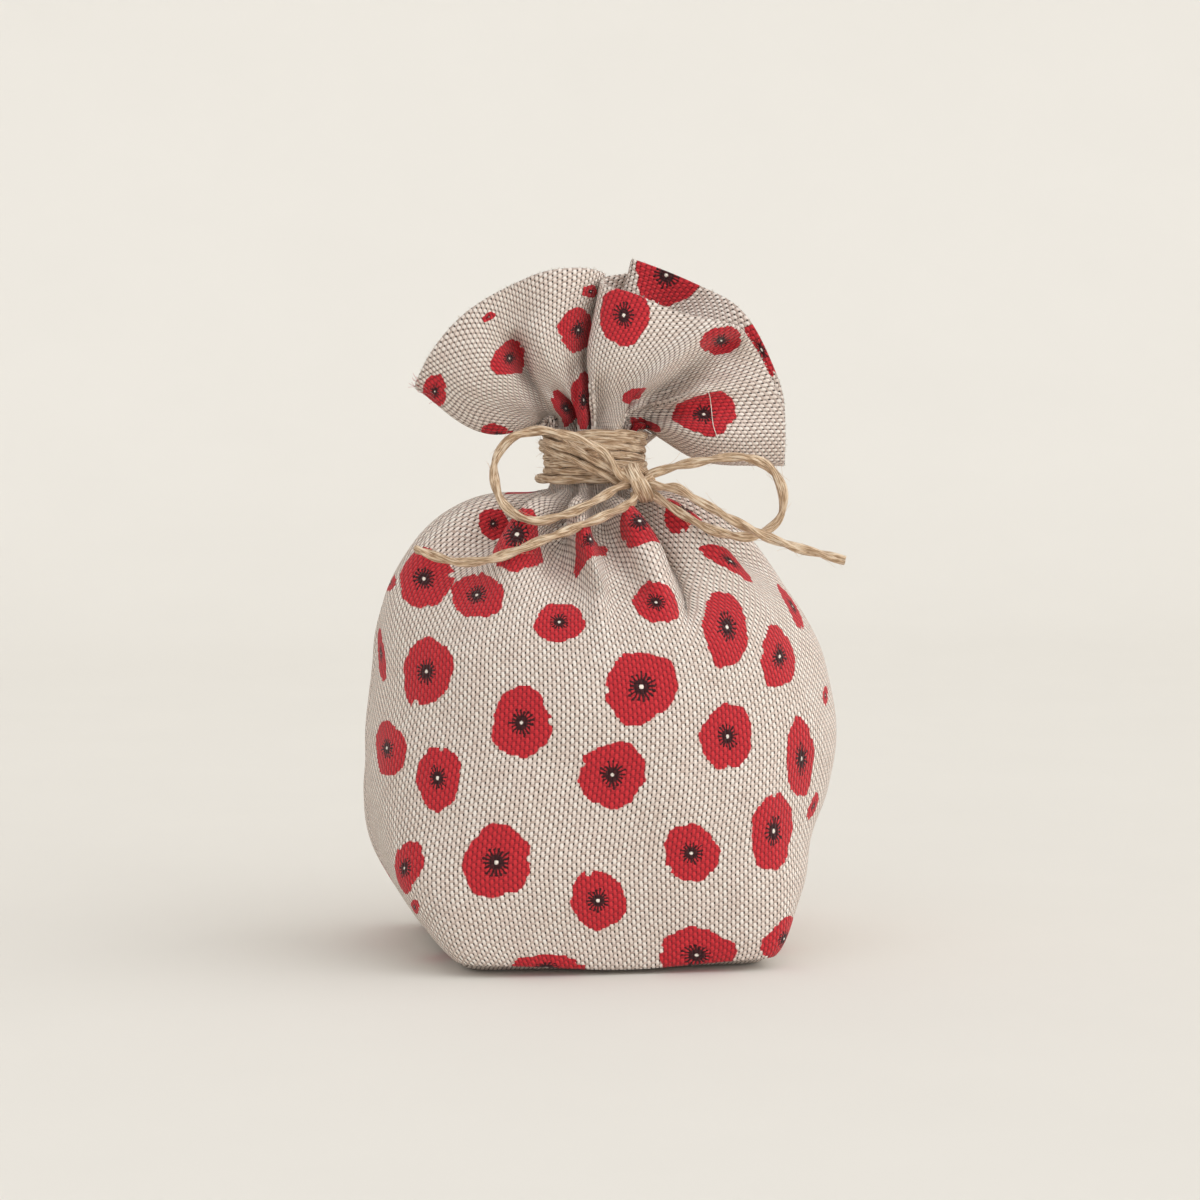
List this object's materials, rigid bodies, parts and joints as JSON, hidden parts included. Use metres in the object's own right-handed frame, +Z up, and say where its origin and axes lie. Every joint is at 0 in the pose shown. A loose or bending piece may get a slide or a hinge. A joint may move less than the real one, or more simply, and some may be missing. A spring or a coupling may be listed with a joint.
{
  "type": "tied fabric pouch",
  "caption": "Stuffed linen pouch with a boxed base, gathered at the neck and tied with wound twine in a bow, its open hem fanned out above.",
  "frame": {"origin": "centre of the base, on the surface that the pouch stands on", "axes": "+Z up through the tied neck, -Y towards the front panel, +X towards the right side seam as seen from the front"},
  "size_m": [0.0938, 0.0738, 0.1382],
  "materials": {
    "printed_linen": "matt plain weave with a red floral print",
    "seam_linen": "matt plain weave, unprinted wrong side",
    "stuffing": "matt loose fibre",
    "jute_twine": "matt twisted strands"
  },
  "bodies": {
    "root": {"front_panel": "printed_linen", "back_panel": "printed_linen", "left_side_seam": "seam_linen", "right_side_seam": "seam_linen", "base_seam": "seam_linen", "filling": "stuffing", "neck_winding": "jute_twine", "bow_knot": "jute_twine", "bow_loop_left": "jute_twine", "bow_loop_right": "jute_twine", "twine_tail_left": "jute_twine", "twine_tail_right": "jute_twine"}
  },
  "joints": []
}
